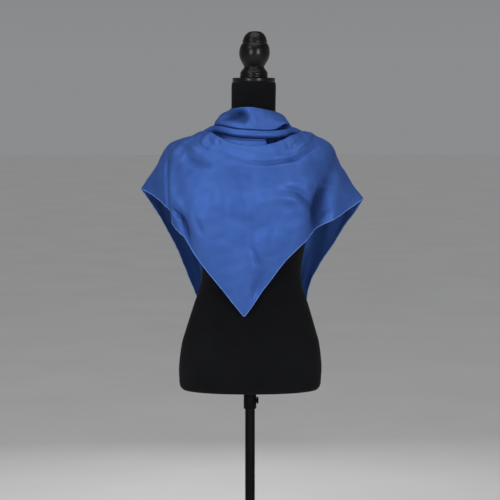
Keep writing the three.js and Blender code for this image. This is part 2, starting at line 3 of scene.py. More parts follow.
import bpy
import numpy as np
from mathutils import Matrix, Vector


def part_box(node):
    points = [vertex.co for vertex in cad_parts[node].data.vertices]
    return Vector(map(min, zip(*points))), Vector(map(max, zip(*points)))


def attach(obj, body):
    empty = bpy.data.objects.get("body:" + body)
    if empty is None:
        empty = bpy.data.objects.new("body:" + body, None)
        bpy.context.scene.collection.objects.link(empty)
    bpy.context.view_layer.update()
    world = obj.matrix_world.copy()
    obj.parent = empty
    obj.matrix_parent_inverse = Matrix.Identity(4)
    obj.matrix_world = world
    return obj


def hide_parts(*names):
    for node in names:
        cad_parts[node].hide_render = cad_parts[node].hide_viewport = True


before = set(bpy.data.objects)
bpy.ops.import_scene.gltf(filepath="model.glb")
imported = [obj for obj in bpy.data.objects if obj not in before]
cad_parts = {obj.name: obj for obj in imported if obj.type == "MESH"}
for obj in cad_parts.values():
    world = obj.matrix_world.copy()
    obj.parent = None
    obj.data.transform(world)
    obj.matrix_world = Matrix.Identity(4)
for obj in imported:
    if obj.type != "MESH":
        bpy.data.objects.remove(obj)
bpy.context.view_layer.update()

# A blue silk square draped on a limbless black dress form with a turned finial, on a pole and base.
# Shapes are worked out in millimetres in the frame's axes and turned into metres when a mesh is made.
# Heights are counted from the underside of the torso. The form faces -Y, and +X is to the right of
# someone who looks at its front.
MM = 0.001
TORSO_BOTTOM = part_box("torso")[0].z / MM
NECK_TOP = 709.0
LEAN_SLOPE = math.tan(math.radians(0.7))
SEAM_Y = 10.0
CLOTH_THICK = 0.7
CLOTH_CLEAR = 2.3
DOWN = np.array([0, 0, -1.0])

random = np.random.default_rng(20)

# Section across the torso at each height: half its width, depth to the front and to the back,
# and how square its outline is, where 2 is an ellipse.
TORSO_COLUMNS = ("height", "side", "front", "back", "square")
TORSO_SECTIONS = [
    (0, 157, 98, 117, 2.25),
    (7, 162.5, 103, 122, 2.25),
    (24, 164.6, 105, 124, 2.25),
    (54, 165.3, 106, 125, 2.25),
    (105, 159.3, 107, 120, 2.2),
    (139, 149.8, 105, 113, 2.15),
    (170, 140.4, 101, 106, 2.1),
    (203, 130, 97, 98, 2.1),
    (224, 122.5, 95, 93, 2.1),
    (246, 116.4, 93, 88, 2.1),
    (271, 114.4, 93, 86, 2.1),
    (295, 116.6, 95, 86, 2.1),
    (330, 122, 101, 90, 2.15),
    (370, 131, 109, 97, 2.2),
    (410, 139, 115, 103, 2.25),
    (428, 141.6, 116, 105.3, 2.28),
    (445, 144, 116, 107, 2.3),
    (462, 147, 114.2, 107.8, 2.3),
    (480, 151, 111, 108, 2.3),
    (495, 156.3, 106.9, 107.4, 2.28),
    (510, 162, 102, 106, 2.25),
    (535, 173, 90, 99, 2.2),
    (549, 177, 81, 91, 2.15),
    (558, 172, 75, 84, 2.1),
    (566, 159, 70, 77, 2.1),
    (576, 134, 65, 70, 2.05),
    (588, 104, 60, 63, 2),
    (602, 76, 56, 57, 2),
    (618, 58.5, 52.5, 53, 2),
    (636, 51.6, 51, 51, 2),
    (660, 50.8, 50.8, 50.8, 2),
    (703, 50.8, 50.8, 50.8, 2),
    (709, 48.6, 48.6, 48.6, 2),
]
BUST = {"apart": 76, "height": 438, "half_width": 52, "half_height": 64, "depth": 15}

# Lines that run down the front panel, row by row from the left shoulder to the right.
FRONT_COLUMNS = ("edge", "turn", "hang", "hem")
FRONT_LINES = [
    ((-110, SEAM_Y, 587), (-186, SEAM_Y, 571), (-220, SEAM_Y, 519), (-252, SEAM_Y, 464)),
    ((-108, -10, 595), (-178, -34, 558), (-206, -38, 499), (-216, -32, 446)),
    ((-103, -24, 597), (-176, -57, 550), (-183, -63, 477), (-182, -60, 415)),
    ((-98, -36, 597), (-166, -76, 536), (-188, -98, 465), (-175, -90, 386)),
    ((-87, -56, 595), (-140, -104, 520), (-158, -118, 440), (-148, -108, 358)),
    ((-69, -80, 584), (-102, -128, 498), (-112, -138, 400), (-111, -122, 304)),
    ((-41, -95, 572), (-60, -140, 470), (-66, -140, 360), (-63, -122, 243)),
    ((-8, -104, 567), (-12, -140, 455), (-14, -134, 320), (-13, -118, 180)),
    ((30, -102, 567), (38, -142, 470), (38, -140, 360), (33, -122, 245)),
    ((62, -88, 574.5), (84, -138, 485), (84, -138, 395), (79, -125, 307)),
    ((90, -64, 586), (130, -112, 515), (136, -120, 430), (125, -114, 351)),
    ((108, -38, 593), (160, -74, 536), (166, -84, 455), (160, -80, 378)),
    ((118, -15, 597), (180, -40, 552), (206, -44, 475), (205, -46, 405)),
    ((124, SEAM_Y, 596), (190, SEAM_Y, 568), (213, SEAM_Y, 522), (262, SEAM_Y, 441)),
]
POINT_LINE = 7

# Lines that run down each back end, row by row from the shoulder seam to the hanging tip.
BACK_COLUMNS = ("edge", "turn", "shoulder", "hang", "hem")
LEFT_BACK_LINES = [
    ((-45, SEAM_Y, 648), (-90, SEAM_Y, 603), *FRONT_LINES[0][1:]),
    ((-55, 42, 622), (-98, 50, 596), (-168, 46, 560), (-209, 34, 501), (-236, 22, 440)),
    ((-62, 78, 582), (-104, 88, 560), (-158, 78, 520), (-196, 62, 460), (-216, 44, 408)),
    ((-66, 104, 520), (-100, 112, 500), (-142, 102, 462), (-176, 84, 410), (-192, 62, 364)),
    ((-70, 115, 440), (-98, 122, 416), (-128, 115, 382), (-154, 100, 345), (-168, 82, 312)),
    ((-74, 119, 350), (-92, 126, 328), (-112, 122, 300), (-132, 113, 272), (-143, 98, 247)),
    ((-78, 122, 250), (-87, 128, 236), (-98, 126, 220), (-110, 121, 200), (-118, 112, 183)),
    ((-82, 124, 165), (-87, 127, 159), (-92, 127, 152), (-98, 126, 144), (-103, 122, 136)),
    ((-86, 125, 112), (-87.5, 126, 110), (-89, 126, 108), (-90.5, 126, 106), (-92, 126, 104)),
]
RIGHT_BACK_LINES = [
    ((60, SEAM_Y, 643), (107, SEAM_Y, 603), (190, SEAM_Y, 567), *FRONT_LINES[-1][2:]),
    ((68, 42, 618), (110, 50, 592), (176, 46, 560), (214, 36, 494), (243, 26, 409)),
    ((72, 78, 578), (114, 88, 556), (166, 80, 516), (202, 66, 452), (222, 50, 378)),
    ((74, 104, 516), (108, 113, 494), (150, 104, 452), (182, 88, 398), (196, 70, 333)),
    ((76, 115, 436), (104, 122, 410), (134, 117, 374), (156, 104, 328), (165, 88, 284)),
    ((78, 119, 345), (96, 127, 322), (116, 124, 292), (134, 117, 260), (141, 102, 232)),
    ((81, 122, 245), (91, 129, 231), (103, 128, 212), (117, 123, 190), (127, 113, 168)),
    ((85, 125, 158), (89, 129, 152), (95, 128, 145), (102, 127, 136), (107, 123, 128)),
    ((90, 126, 104), (91.5, 127, 102.5), (93, 127, 101), (94.5, 127, 99.5), (96, 127, 98)),
]

# The neck band from shoulder to shoulder: its top, its foot and how far its middle bellies out.
BAND_COLUMNS = ("top", "foot", "belly")
BAND_PLACES = [
    ((-46, SEAM_Y, 650), (-80, SEAM_Y, 611), 10),
    ((-45, -23, 651.5), (-78, -36, 612), 8),
    ((-31, -57, 651), (-50, -63, 606), 1),
    ((4, -64, 652), (0, -76, 601), 0),
    ((38, -51, 646), (54, -63, 600), 4),
    ((58, -22, 641.5), (87, -36, 606), 8),
    ((59, SEAM_Y, 641), (93, SEAM_Y, 609), 9),
]
# The middle roll under the band: its crest and how far its face drops below the crest.
ROLL_COLUMNS = ("crest", "drop")
MIDDLE_ROLL_PLACES = [
    ((-85, SEAM_Y, 603), 9),
    ((-86, -22, 608.5), 14),
    ((-67, -58, 609), 18),
    ((-34, -79, 603), 19),
    ((5, -86, 600), 19),
    ((45, -80, 598.5), 18.5),
    ((79, -59, 602), 18),
    ((95, -27, 606), 15),
    ((100, SEAM_Y, 605), 9),
]
# The under roll, with the same columns.
UNDER_ROLL_PLACES = [
    ((-80, -50, 590), 3),
    ((-71, -62, 585), 4.5),
    ((-60, -73, 581), 6),
    ((-50, -80, 580), 8),
    ((-30, -90, 577), 9),
    ((5, -97, 575), 9),
    ((28, -94, 575), 9),
    ((38, -90, 575), 8),
]

# Directions round the neck in degrees, 0 at the front, between which the pleats fade out and the opening
# beside the notch and the under roll begin and end.
PLEATS_FADE = (62, 88)
OPENING_BEGINS = (20, 25)
OPENING_ENDS = (44, 66)
UNDER_ROLL_BEGINS = (-57, -41)
UNDER_ROLL_ENDS = (19.5, 22)
# The neck band: shares of the way from its top to its foot, then places counted from the roll's crest.
BAND = {"belly_share": 0.28, "lower_in_middle": 0.17, "lip_share": 0.84, "lip_belly": 0.35}
BAND_LIP = {"over": 2.6, "behind": 2.2}
BAND_TUCK = {"over": 1.0, "behind": 8.0, "crest_share": 0.6, "behind_at_ends": 1.5}
# The pocket, where the band lifts off the roll, and how much further each part goes there.
POCKET = {"angle": 53, "half_width": 12, "lip_up": 10.5, "lip_out": 2.5, "tuck_up": 6, "tuck_back": 17}
POCKET_VALLEY = {"back": 20, "down": 7}
# The valley behind the middle roll, and the share of it that is left at the shoulders.
VALLEY = {"back": 6.5, "down": 5, "least": 0.1}
# Points round the middle roll below its crest, as shares of its drop: out, down, and more at its ends.
ROLL_ROUND = [
    (0.24, 0.22, 0.6, 0.08),
    (0.26, 0.66, 1.5, 0.1),
    (-0.25, 0.97, 2.1, 0.2),
]
# Points of the thin layer and the under roll: behind and above the crest, out and down as shares of the
# drop, and how far below the hollow each lies beyond the under roll's ends.
LAYERS = [
    (6.5, 4.6, 0, 0, -2.0),
    (3.0, 4.6, 0, 0, -0.5),
    (5.5, 1.2, 0, 0, 0.5),
    (0, 0, 0, 0, 1.0),
    (0, 0, 0.3, 0.5, 2.0),
]
# The hollow under the rolls and the turned-in lip of the front panel, with their share at the shoulders.
HOLLOW = {"edge_share": 0.45, "inward": 9, "more_at_opening": 7, "down": 2}
PANEL_LIP = {"inward": 3.6, "more_at_opening": 5, "down": 9}
LEAST_TUCK = 0.25

# Folds as someone in front of the form sees them. The columns are places across and up the cloth, half
# the width of the fold, and how far it stands out, or sinks in where that is negative.
BAND_FOLDS = [
    ([(-70, 627), (-54, 634), (-38, 635), (-20, 631), (-6, 620)], 12, -15),
    ([(-60, 638), (-40, 642), (-20, 640), (-6, 631)], 7, -6),
    ([(-86, 618), (-66, 617), (-46, 613), (-26, 607)], 6, 4.5),
    ([(4, 642), (10, 626), (16, 610)], 8, 2),
]
FRONT_FOLDS = [
    ([(-60, 566), (-20, 556), (20, 552), (60, 558), (96, 572)], 9, 3),
    ([(144, 594), (128, 575), (100, 556)], 9, 5),
    ([(128, 585), (111, 573), (96, 561)], 6, -3.5),
    ([(82, 574), (90, 558)], 4.5, -2),
    ([(94, 572), (100, 556)], 4, -1.6),
    ([(-30, 544), (20, 540), (82, 549), (130, 564)], 9, 2),
    ([(-20, 531), (34, 527), (81, 534), (119, 546), (150, 558)], 4.6, -7.5),
    ([(84, 533), (103, 534), (126, 540)], 6, -2.5),
    ([(70, 469), (94, 466), (112, 460), (130, 444), (142, 418)], 9, -8),
    ([(36, 444), (72, 450), (99, 446), (118, 430), (130, 395)], 13, 5),
    ([(200, 562), (197, 545), (190, 516), (181, 487), (168, 458)], 15, -8),
    ([(176, 474), (167, 442), (160, 408), (155, 352)], 22, -19),
    ([(3, 337), (11, 320), (19, 302), (29, 290)], 3.6, -6.5),
    ([(20, 334), (32, 306)], 8, 1.5),
    ([(0, 340), (-6, 280), (-10, 200)], 22, 4),
    ([(24, 292), (22, 258), (10, 222)], 14, -7),
    ([(-153, 573), (-134, 563), (-110, 550)], 8, 5.5),
    ([(-152, 542), (-134, 534), (-110, 526), (-82, 521)], 11, -9.5),
    ([(-72, 548), (-30, 540), (12, 535)], 13, -6),
    ([(-112, 567), (-92, 554)], 4, -3.5),
    ([(-98, 579), (-84, 570)], 6, -3),
    ([(-84, 592), (-98, 587), (-108, 573), (-98, 560), (-80, 560)], 4, 2.8),
    ([(-84, 594), (-70, 583), (-50, 574), (-28, 568)], 6, 2),
    ([(-72, 580), (-69, 568)], 4, -2.4),
    ([(-190, 556), (-190, 510), (-188, 455), (-185, 412)], 3.2, -5),
    ([(-183, 548), (-181, 490), (-178, 430)], 9, 1),
    ([(-180, 430), (-169, 412), (-157, 400), (-150, 380), (-142, 358)], 6.5, -12),
    ([(-166, 404), (-160, 392)], 4, 1.5),
    ([(-140, 420), (-130, 390), (-116, 352)], 10, 2),
    ([(-122, 404), (-108, 366)], 7, -3),
    ([(-164, 424), (-150, 396), (-138, 366)], 6, -6),
    ([(-158, 388), (-144, 362), (-132, 340)], 4, -3.5),
    ([(-170, 452), (-156, 428), (-148, 402)], 7, 1.5),
    ([(-56, 411), (-11, 395), (27, 359)], 20, -4),
    ([(40, 388), (56, 321)], 24, 4),
    ([(162, 395), (171, 418)], 5, 2.5),
    ([(178, 395), (184, 418)], 5, -2.5),
    ([(226, 545), (236, 505), (244, 462)], 9, -3),
]
# Folds of the back ends, with the same columns.
BACK_FOLDS = [
    ([(-80, 585), (-84, 500), (-88, 400), (-90, 300)], 8, 4),
    ([(-112, 590), (-104, 480), (-98, 360), (-92, 250)], 9, -8),
    ([(-128, 585), (-124, 490), (-112, 400)], 8, 5),
    ([(-150, 570), (-142, 490), (-128, 400), (-116, 320)], 11, -6),
    ([(-176, 550), (-170, 480), (-150, 390)], 11, 6),
    ([(-196, 520), (-186, 450), (-168, 370)], 9, -5),
    ([(-222, 480), (-204, 420), (-184, 350)], 8, 3),
    ([(-130, 350), (-122, 290), (-112, 230)], 8, 3.5),
    ([(88, 580), (90, 480), (92, 360), (94, 230)], 8, 5),
    ([(118, 590), (112, 500), (108, 400)], 8, -7),
    ([(134, 580), (130, 480), (118, 380), (110, 290)], 9, 5),
    ([(164, 560), (152, 470), (136, 370), (122, 280)], 12, -8),
    ([(184, 545), (178, 470), (164, 400)], 10, 5.5),
    ([(206, 510), (196, 430), (178, 340)], 10, -5),
    ([(232, 465), (214, 390), (190, 320)], 8, 3),
    ([(140, 300), (128, 240), (116, 190)], 7, -3.5),
]

# Steps between neighbouring control points down a line of the cloth, from the folded edge to the hem:
# the band, the middle roll, the thin layer, the under roll, the lip and the open cloth.
BAND_STEPS = (8, 7, 3, 3)
ROLL_STEPS = (3, 3, 3, 3)
LAYER_STEPS = (3, 3, 3)
UNDER_STEPS = (3, 3, 3)
LIP_STEPS = (4,)
OPEN_STEPS = (50, 36, 34)
PLEAT_STEPS = BAND_STEPS + ROLL_STEPS + LAYER_STEPS + UNDER_STEPS + LIP_STEPS
LINE_STEPS = PLEAT_STEPS + OPEN_STEPS
FRONT_STEPS = 168
BACK_STEPS = 52
FINE_READS = 400

# The pleats on a back end: the share kept to its tip, and how many table lines the rest takes to fade.
BACK_PLEATS = {"kept": 0.22, "fade": 2.1, "side_fade": 0.8, "fine_steps": 60}
# Evening out between neighbouring lines: everywhere at first, then only near the shoulder seams.
SOFTENING = {"turns": 14, "whole": 2, "near_seam": 9}
# Uneven ripples of the cloth, and the puckers along its hem.
WIDE_RIPPLE = {"height": 0.5, "length": 85, "in_pleats": 0.3}
FINE_RIPPLE = {"height": 0.28, "length": 32}
PUCKER = {"height": 0.45, "reach": 9}
SEAM_BLEND = 12
# How far back the cloth lies where the painted shade that darkens its colour in the folds begins and where it
# is full.
PLEAT_PAINTED_SHADE = (1.5, 13)
FOLD_PAINTED_SHADE = (2, 17)
# The most painted shade that the deep folds of the open cloth take.
FOLD_PAINTED_SHADE_SHARE = 0.8
ROLLED_HEM = {"radius": 1.15, "sides": 8, "step": 0.9, "pinch": 0.35, "stitch": 4.6}

# The form's fittings and its stand.
ON_AXIS = 0.05
POLE_RADIUS = 11.3
FIT_GAP = 0.3
BORE_DEPTH = 350
COLLAR = {"radius": 14.7, "below": 47.8, "above": 210, "sleeve_radius": 14.2, "taper": 1.2}
SCREW = {"below": 28.4, "shank": 2.9, "knob": 7.9, "start": 15, "end": 19.8, "grips": 16, "grip_depth": 0.6}
BASE = {
    "radius": 200, "thick": 7, "edge": 3, "dome": 1.5, "foot": 1, "socket_floor": 3,
    "hub": 24, "hub_height": 26, "bevel": 2, "fillet": 4,
}
PLATE = {"radius": 48.9, "thick": 9, "bevel": 1.6}
FINIAL_LEAN = 0.027
# Radius and height of the finial from its foot up.
FINIAL_TURNING = [
    (30.6, 0), (32.1, 1.6), (31.9, 4.4), (30.9, 5.6), (31.6, 7), (31.5, 10.5), (29.4, 15), (25.6, 19.5),
    (23.2, 23.6), (23.4, 26), (27.6, 33.6), (31.8, 41.2), (34.7, 50.7), (35.1, 58.6), (33.9, 68),
    (30.6, 75.6), (27.6, 79.4), (28.4, 81.4), (28, 84.6), (26.9, 87), (25.6, 92), (20.2, 99.6),
    (13.6, 104.5), (6, 106), (ON_AXIS, 106.3),
]

# Softboxes that look at the chest: place and size in metres, and power in watts.
CHEST = (0, 0, 1.3)
SOFTBOXES = [
    ("left_softbox", (-3.0, -6.2, 2.0), (1.2, 1.9), 126),
    ("right_softbox", (3.2, -6.1, 2.0), (1.2, 1.9), 158),
    ("top_softbox", (-0.3, -0.6, 5.2), (4.0, 4.0), 38),
    ("high_left_softbox", (-2.4, -2.6, 4.0), (0.9, 0.9), 19),
    ("rear_softbox", (-0.2, 3.4, 1.9), (1.4, 1.4), 22),
]
SKY_GLOW = {"strength": 0.75, "spread": 60, "tilt": 12}
# The studio round the stage is brighter low down and darker above.
STUDIO = {"low": 0.02, "high": 0.35, "bright": 0.27, "dark": 0.12}
CAMERA = {"distance": 4.5, "height": 1.492, "aim": 1.122, "lens": 140.7, "sensor": 36}
FLOOR_HALF = 40.0


def lean_at(height):
    return height * LEAN_SLOPE


def hermite(t, start, end, start_slope, end_slope):
    """A smooth way from start to end, with a slope at each, as t goes from 0 to 1."""
    return (
        start * (2 * t**3 - 3 * t**2 + 1)
        + end * (3 * t**2 - 2 * t**3)
        + start_slope * (t**3 - 2 * t**2 + t)
        + end_slope * (t**3 - t**2)
    )


def read_column(name, heights):
    """Smooth reading of one column of the torso table at each height."""
    rows = np.array(TORSO_SECTIONS, float)
    known = rows[:, TORSO_COLUMNS.index("height")]
    values = rows[:, TORSO_COLUMNS.index(name)]
    before = np.concatenate([[0], np.arange(len(rows) - 1)])
    after = np.concatenate([np.arange(1, len(rows)), [len(rows) - 1]])
    slopes = (values[after] - values[before]) / (known[after] - known[before])
    at = np.clip(heights, known[0], known[-1])
    row = np.clip(np.searchsorted(known, at, side="right") - 1, 0, len(rows) - 2)
    span = known[row + 1] - known[row]
    t = (at - known[row]) / span
    return hermite(t, values[row], values[row + 1], span * slopes[row], span * slopes[row + 1])


def torso_radius(angles, heights):
    """Distance of the torso surface from its axis. The angle is 0 at the front and grows towards +X."""
    side = read_column("side", heights)
    forward = np.cos(angles) > 0
    depth = np.where(forward, read_column("front", heights), read_column("back", heights))
    square = read_column("square", heights)
    across = (np.abs(np.sin(angles)) / side) ** square
    along = (np.abs(np.cos(angles)) / depth) ** square
    plain = (across + along) ** (-1 / square)
    x = plain * np.sin(angles)
    up = ((heights - BUST["height"]) / BUST["half_height"]) ** 2
    left = np.exp(-(((x + BUST["apart"]) / BUST["half_width"]) ** 2) - up)
    right = np.exp(-(((x - BUST["apart"]) / BUST["half_width"]) ** 2) - up)
    return plain + BUST["depth"] * (left + right) * np.clip(np.cos(angles), 0, 1)


def outside_torso(points):
    x = points[..., 0] - lean_at(points[..., 2])
    level = np.hypot(x, points[..., 1])
    return level - torso_radius(np.arctan2(x, -points[..., 1]), points[..., 2])


def clear_of_torso(points, distance):
    """Moves points that are too near the torso straight out of it."""
    step = 0.5
    result = points.copy()
    for _ in range(6):
        gap = outside_torso(result)
        slope = np.zeros_like(result)
        for axis in range(3):
            moved = result.copy()
            moved[..., axis] += step
            slope[..., axis] = (outside_torso(moved) - gap) / step
        steepness = np.linalg.norm(slope, axis=-1)
        short = np.clip(distance * steepness - gap, 0, None)
        result += slope * (short / steepness**2)[..., None]
    return result


def angle_of(points):
    """Direction of points from the torso's axis, 0 at the front and growing towards +X."""
    return np.arctan2(points[..., 0] - lean_at(points[..., 2]), -points[..., 1])


def degrees_of(points):
    return np.degrees(angle_of(points))


def smooth_step(low, high, value):
    t = np.clip((value - low) / (high - low), 0, 1)
    return t * t * (3 - 2 * t)


def bell(value, middle, half_width):
    return np.exp(-(((value - middle) / half_width) ** 2))


def unit(vectors):
    return vectors / np.maximum(np.linalg.norm(vectors, axis=-1, keepdims=True), 1e-9)


def spline(rows, at):
    """Catmull-Rom curve through rows of numbers, read at places counted in rows."""
    rows = np.asarray(rows, float)
    padded = np.concatenate([[2 * rows[0] - rows[1]], rows, [2 * rows[-1] - rows[-2]]])
    first = np.clip(np.floor(at).astype(int), 0, len(rows) - 2)
    t = (at - first).reshape((-1,) + (1,) * (rows.ndim - 1))
    before, start, end, after = (padded[first + offset] for offset in range(4))
    return hermite(t, start, end, (end - before) / 2, (after - start) / 2)


def column_of(rows, columns, name):
    """One named column of a table."""
    return [row[columns.index(name)] for row in rows]


def rows_where(places, measure, wanted, reads=FINE_READS):
    """Where along the curve through places, counted in rows, its measure comes to each wanted value."""
    fine = np.linspace(0, len(places) - 1, reads)
    return np.interp(wanted, measure(spline(places, fine)), fine)


def hem_spline(rows, at):
    """The hem of the front panel, with a sharp corner at the scarf's point."""
    first = spline(rows[: POINT_LINE + 1], np.minimum(at, POINT_LINE))
    second = spline(rows[POINT_LINE:], np.maximum(at - POINT_LINE, 0))
    return np.where((at <= POINT_LINE)[:, None], first, second)


def lines_through(controls, steps):
    """Centripetal curves through the control points of each line, with even steps between controls."""
    first = 2 * controls[:, :1] - controls[:, 1:2]
    last = 2 * controls[:, -1:] - controls[:, -2:-1]
    padded = np.concatenate([first, controls, last], axis=1)
    knots = np.maximum(np.linalg.norm(np.diff(padded, axis=1), axis=2), 1e-3) ** 0.5
    stretches = []
    for index, count in enumerate(steps):
        before, start, end, after = (padded[:, None, index + offset] for offset in range(4))
        lead, span, trail = (knots[:, index + offset, None, None] for offset in range(3))
        run = (end - start) / span
        start_slope = ((start - before) / lead - (end - before) / (lead + span) + run) * span
        end_slope = (run - (after - start) / (span + trail) + (after - end) / trail) * span
        t = (np.arange(count) / count)[None, :, None]
        stretches.append(hermite(t, start, end, start_slope, end_slope))
    stretches.append(controls[:, -1:])
    return np.concatenate(stretches, axis=1)


def grid_normals(grid):
    """Direction out of the cloth at each point of a grid of lines."""
    return unit(np.cross(np.gradient(grid, axis=1), np.gradient(grid, axis=0)))


def share_of_turn(points):
    """How far round the neck each point of a curve is, from 0 at its first point to 1 at its last."""
    angles = angle_of(points)
    return (angles - angles[0]) / (angles[-1] - angles[0])


def level_out(points):
    """Level direction away from the torso's axis."""
    return unit(np.stack([points[:, 0] - lean_at(points[:, 2]), points[:, 1], np.zeros(len(points))], axis=1))


def front_controls():
    """Control points of the front lines, from the folded edge through the rolls to the hem."""
    at = np.linspace(0, len(FRONT_LINES) - 1, FRONT_STEPS + 1)
    edge, turn, hang = (spline(column_of(FRONT_LINES, FRONT_COLUMNS, name), at) for name in FRONT_COLUMNS[:3])
    hem = hem_spline(column_of(FRONT_LINES, FRONT_COLUMNS, "hem"), at)
    share = share_of_turn(edge)
    angle = degrees_of(edge)
    in_middle = (1 - smooth_step(*PLEATS_FADE, np.abs(angle)))[:, None]
    pocket = bell(angle, POCKET["angle"], POCKET["half_width"])[:, None]
    opening = (smooth_step(*OPENING_BEGINS, angle) * (1 - smooth_step(*OPENING_ENDS, angle)))[:, None]
    roll = roll_controls(share, in_middle, pocket)
    band = band_controls(share, roll[1], in_middle, pocket)
    out = level_out(edge)
    tuck = LEAST_TUCK + (1 - LEAST_TUCK) * in_middle
    hollow_in = HOLLOW["inward"] + HOLLOW["more_at_opening"] * opening
    hollow = roll[-1] * (1 - HOLLOW["edge_share"]) + edge * HOLLOW["edge_share"]
    hollow += tuck * (DOWN * HOLLOW["down"] - out * hollow_in)
    lip_in = PANEL_LIP["inward"] + PANEL_LIP["more_at_opening"] * opening
    lip = edge + tuck * (DOWN * PANEL_LIP["down"] - out * lip_in)
    return np.stack([*band, *roll, *layer_controls(angle, hollow), lip, edge, turn, hang, hem], axis=1)


def band_controls(share, crest, in_middle, pocket):
    """Top, belly, lip and tuck of the neck band. Its lip hangs over the roll and lifts at the pocket."""
    at = rows_where(column_of(BAND_PLACES, BAND_COLUMNS, "foot"), share_of_turn, share)
    top, foot, belly = (spline(column_of(BAND_PLACES, BAND_COLUMNS, name), at) for name in BAND_COLUMNS)
    bulge = level_out(foot) * belly[:, None]
    out = level_out(crest)
    at_ends = 1 - in_middle
    lower = BAND["belly_share"] + BAND["lower_in_middle"] * in_middle
    middle = top * (1 - lower) + foot * lower + bulge
    plain_lip = top * (1 - BAND["lip_share"]) + foot * BAND["lip_share"] + bulge * BAND["lip_belly"]
    hanging_lip = (
        crest
        - out * (BAND_LIP["behind"] - POCKET["lip_out"] * pocket)
        - DOWN * (BAND_LIP["over"] + POCKET["lip_up"] * pocket)
    )
    crest_share = BAND_TUCK["crest_share"]
    plain_tuck = plain_lip * (1 - crest_share) + crest * crest_share - out * BAND_TUCK["behind_at_ends"]
    deep_tuck = (
        crest
        - out * (BAND_TUCK["behind"] + POCKET["tuck_back"] * pocket)
        - DOWN * (BAND_TUCK["over"] + POCKET["tuck_up"] * pocket)
    )
    lip = plain_lip * at_ends + hanging_lip * in_middle
    tuck = plain_tuck * at_ends + deep_tuck * in_middle
    return top, middle, lip, tuck


def roll_controls(share, in_middle, pocket):
    """The valley behind the middle roll, its crest, its face, its chin and its underside."""
    crests = column_of(MIDDLE_ROLL_PLACES, ROLL_COLUMNS, "crest")
    at = rows_where(crests, share_of_turn, share)
    crest = spline(crests, at)
    drop = spline(column_of(MIDDLE_ROLL_PLACES, ROLL_COLUMNS, "drop"), at)[:, None]
    out = level_out(crest)
    at_ends = 1 - in_middle
    depth = VALLEY["least"] + (1 - VALLEY["least"]) * in_middle
    back = VALLEY["back"] * depth + POCKET_VALLEY["back"] * pocket
    sink = VALLEY["down"] * depth + POCKET_VALLEY["down"] * pocket
    below = [
        crest + drop * (out * (outward + more_out * at_ends) + DOWN * (downward + more_down * at_ends))
        for outward, downward, more_out, more_down in ROLL_ROUND
    ]
    return crest - out * back + DOWN * sink, crest, *below


def layer_controls(angle, hollow):
    """The thin layer and the under roll, which end in a notch right of the middle."""
    crests = column_of(UNDER_ROLL_PLACES, ROLL_COLUMNS, "crest")
    at = rows_where(crests, degrees_of, angle, FINE_READS // 2)
    crest = spline(crests, at)
    drop = spline(column_of(UNDER_ROLL_PLACES, ROLL_COLUMNS, "drop"), at)[:, None]
    out = level_out(crest)
    present = (smooth_step(*UNDER_ROLL_BEGINS, angle) * (1 - smooth_step(*UNDER_ROLL_ENDS, angle)))[:, None]
    controls = []
    for behind, above, out_share, down_share, below_hollow in LAYERS:
        place = crest + out * (drop * out_share - behind) + DOWN * (drop * down_share - above)
        controls.append((hollow + DOWN * below_hollow) * (1 - present) + place * present)
    return controls


def back_controls(lines, seam_controls):
    """Control points of a back end. The pleats of the seam run on down it and slowly flatten."""
    at = np.linspace(0, len(lines) - 1, BACK_STEPS + 1)
    base = np.stack([spline(column_of(lines, BACK_COLUMNS, name), at) for name in BACK_COLUMNS], axis=1)
    fine_steps = BACK_PLEATS["fine_steps"]
    fine = lines_through(base, (fine_steps,) * (len(BACK_COLUMNS) - 1))
    down_line = unit(np.gradient(fine, axis=1))
    normals = grid_normals(fine)
    if normals[0, fine_steps, 2] < 0:
        normals = -normals
    shoulder = BACK_COLUMNS.index("shoulder") * fine_steps
    pleats = seam_controls[: len(PLEAT_STEPS) + 1]
    distance = np.linalg.norm(pleats[:, None] - fine[0][None, : shoulder + 1], axis=2)
    nearest = np.maximum.accumulate(distance.argmin(axis=1))
    nearest[0] = 0
    offset = pleats - fine[0][nearest]
    off_along = (offset * down_line[0][nearest]).sum(axis=1)
    off_out = (offset * normals[0][nearest]).sum(axis=1)
    off_side = offset - off_along[:, None] * down_line[0][nearest]
    off_side -= off_out[:, None] * normals[0][nearest]
    width = np.linalg.norm(base[:, -1] - base[:, 0], axis=1)
    scale = width / width[0]
    keep = scale * (BACK_PLEATS["kept"] + (1 - BACK_PLEATS["kept"]) * bell(at, 0, BACK_PLEATS["fade"]))
    fade = bell(at, 0, BACK_PLEATS["side_fade"])
    controls = [
        fine[:, place]
        + down_line[:, place] * (off_along[index] * keep)[:, None]
        + normals[:, place] * (off_out[index] * keep)[:, None]
        + off_side[index] * fade[:, None]
        for index, place in enumerate(nearest)
    ]
    controls += [base[:, BACK_COLUMNS.index(name)] for name in ("shoulder", "hang", "hem")]
    return np.stack(controls, axis=1)


def scarf_controls():
    """Control points of every line of the scarf, from its left tip round the front to its right tip."""
    front = front_controls()
    left = back_controls(LEFT_BACK_LINES, front[0])
    right = back_controls(RIGHT_BACK_LINES, front[-1])
    return soften_across(np.concatenate([left[:0:-1], front, right[1:]]))


def soften_across(controls):
    """Evens out the lines sideways, most near the shoulders. The hem keeps its corners."""
    result = controls.copy()
    columns = np.arange(len(controls))
    near = bell(columns, BACK_STEPS, SOFTENING["near_seam"])
    near += bell(columns, BACK_STEPS + FRONT_STEPS, SOFTENING["near_seam"])
    for turn in range(SOFTENING["turns"]):
        middle = (result[:-2] + 2 * result[1:-1] + result[2:]) / 4
        weight = (np.ones(len(columns)) if turn < SOFTENING["whole"] else near)[1:-1, None, None]
        result[1:-1] += (middle - result[1:-1]) * weight
        result[:, -1] = controls[:, -1]
    return result


